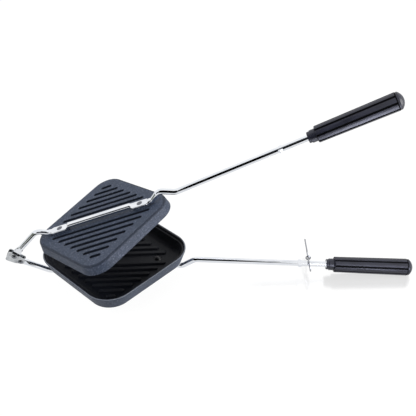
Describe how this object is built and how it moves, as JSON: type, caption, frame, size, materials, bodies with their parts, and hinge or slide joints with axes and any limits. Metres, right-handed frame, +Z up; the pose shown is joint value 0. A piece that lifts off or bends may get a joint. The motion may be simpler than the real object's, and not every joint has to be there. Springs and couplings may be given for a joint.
{
  "type": "sandwich maker",
  "caption": "Stovetop sandwich press: two ribbed non-stick pans on long chromed rods, hinged at a corner, with fluted grips and a wire locking link.",
  "frame": {"origin": "on the ground under the middle of the bounding box, with the tool lying half open on the bend near its hinge and on the end of its lower grip", "axes": "+X along the arms from the hinge to the grips, +Y along the hinge axis, +Z up"},
  "size_m": [0.4704, 0.1628, 0.2389],
  "materials": {
    "nonstick": "cast aluminium with a dark non-stick coat",
    "chrome_rod": "bright chrome plate",
    "chrome_sheet": "chromed pressed sheet",
    "rivet": "satin",
    "steel": "zinc plated",
    "bakelite": "glossy black"
  },
  "bodies": {
    "lower_half": {"lower_pan": "nonstick", "lower_arm": "chrome_rod", "lower_pan_rivets": "rivet", "hinge_bracket": "chrome_sheet", "hinge_rivet": "steel", "tang_rivet": "steel", "lower_ferrule": "bakelite", "lower_grip": "bakelite", "lower_grip_cap": "bakelite", "lower_grip_nut": "steel", "lower_grip_washer": "steel"},
    "upper_half": {"upper_pan": "nonstick", "upper_arm": "chrome_rod", "upper_pan_rivets": "rivet", "hinge_washers": "steel", "upper_ferrule": "bakelite", "upper_grip": "bakelite", "upper_grip_cap": "bakelite", "upper_grip_nut": "steel", "upper_grip_washer": "steel"},
    "link": {"lock_link": "chrome_rod", "link_ring": "chrome_rod"}
  },
  "joints": [
    {"name": "jaw_hinge", "type": "hinge", "parent": "lower_half", "child": "upper_half", "pos_m": [-0.22504, 0, 0.02604], "axis": [0, -1, 0], "range_deg": [-18.4, 99]},
    {"name": "link_swing", "type": "hinge", "parent": "lower_half", "child": "link", "pos_m": [0.11417, 0, 0.01477], "axis": [0.999, 0, -0.0436], "range_deg": [-20, 200]}
  ]
}
